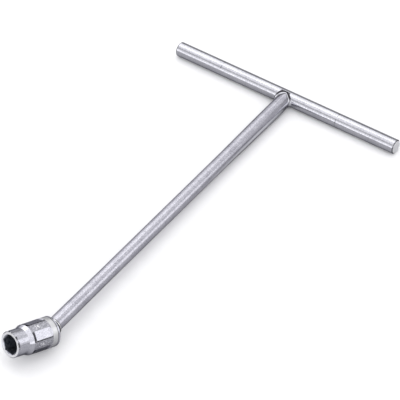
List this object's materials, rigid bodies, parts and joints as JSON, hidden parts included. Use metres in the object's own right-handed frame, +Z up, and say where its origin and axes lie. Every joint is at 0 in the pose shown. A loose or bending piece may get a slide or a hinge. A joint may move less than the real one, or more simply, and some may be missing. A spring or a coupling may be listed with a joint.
{
  "type": "swivel socket t-handle wrench",
  "caption": "T-handle box wrench: a round cross bar welded to a long round shaft that carries a hexagon socket on a pinned ball swivel.",
  "frame": {"origin": "on the surface that the wrench lies on, under the middle of its box", "axes": "+Z up from that surface; X along the cross bar; the shaft runs from the cross bar towards -Y"},
  "size_m": [0.2, 0.3752, 0.0303],
  "materials": {
    "chrome_plate": "polished chrome plate with faint drawing marks",
    "plated_weld": "ground weld under chrome plate",
    "machined_steel": "turned and oiled steel",
    "socket_chrome": "polished chrome plate",
    "satin_band": "satin plated steel",
    "spring_steel": "blued spring steel"
  },
  "bodies": {
    "handle": {"cross_bar": "chrome_plate", "shaft": "chrome_plate", "bar_weld": "plated_weld", "ball_stud": "machined_steel", "stud_weld": "plated_weld"},
    "pin": {"cross_pin": "machined_steel"},
    "socket": {"socket_body": "socket_chrome", "pin_band": "satin_band", "thrust_cup": "machined_steel", "disc_spring_rear": "spring_steel", "disc_spring_front": "spring_steel"}
  },
  "joints": [
    {"name": "pin_rock", "type": "hinge", "parent": "handle", "child": "pin", "pos_m": [0, -0.15012, 0.01229], "axis": [0.8135, -0.0114, -0.5814], "range_deg": [-14, 14]},
    {"name": "socket_turn", "type": "hinge", "parent": "pin", "child": "socket", "pos_m": [0, -0.15012, 0.01229], "axis": [-0.5815, -0.0159, -0.8134], "range_deg": [-43.28, 2.72]}
  ]
}
